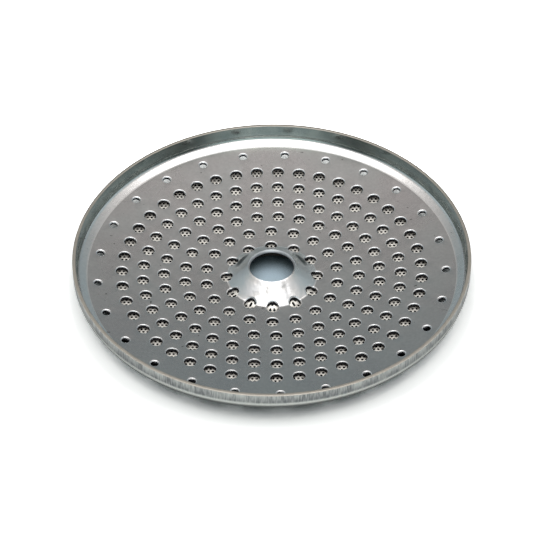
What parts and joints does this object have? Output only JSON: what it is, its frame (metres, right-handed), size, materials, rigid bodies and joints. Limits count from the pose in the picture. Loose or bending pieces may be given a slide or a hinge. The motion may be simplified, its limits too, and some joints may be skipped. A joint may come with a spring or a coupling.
{
  "type": "espresso shower screen",
  "caption": "Round shower screen for an espresso group: a dished, perforated steel plate with an upright rim and a raised centre screw hole, over a fine filter foil.",
  "frame": {"origin": "on the screen's axis, on the surface that its bulging underside rests on", "axes": "+Z along the axis, from the coffee side to the rim's edge, which faces the group head"},
  "size_m": [0.0564, 0.0564, 0.0058],
  "materials": {
    "plate_steel": "satin stainless steel, lightly worn",
    "foil_steel": "satin stainless foil with very fine holes"
  },
  "bodies": {
    "root": {"pressed_plate": "plate_steel", "filter_foil": "foil_steel"}
  },
  "joints": []
}
